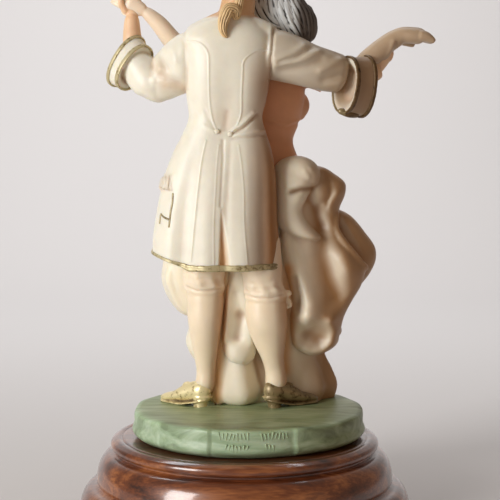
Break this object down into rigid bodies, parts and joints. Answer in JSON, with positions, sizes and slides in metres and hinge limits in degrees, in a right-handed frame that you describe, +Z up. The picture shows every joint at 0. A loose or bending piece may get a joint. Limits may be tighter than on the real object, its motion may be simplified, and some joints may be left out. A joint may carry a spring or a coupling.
{
  "type": "dancing couple figurine",
  "caption": "Cast resin figurine of a dancing couple in eighteenth-century dress on an oval green base, set on a turned round wooden plinth.",
  "frame": {"origin": "centre of the plinth's flat underside", "axes": "+Z up; +Y is the way both figures face; +X is to the right of a viewer who sees the man's back"},
  "size_m": [0.1544, 0.1436, 0.2478],
  "materials": {
    "cast_resin": "waxy marble-filled resin, ivory, with warm shading in the folds",
    "plinth_wood": "red-brown stain under gloss varnish",
    "gold_paint": "brushed antique gold paint",
    "hair_paint": "grey-blue paint with black strokes",
    "base_paint": "sage green wash, brushed"
  },
  "bodies": {
    "root": {"dancing_couple": "cast_resin", "wooden_plinth": "plinth_wood"}
  },
  "joints": []
}
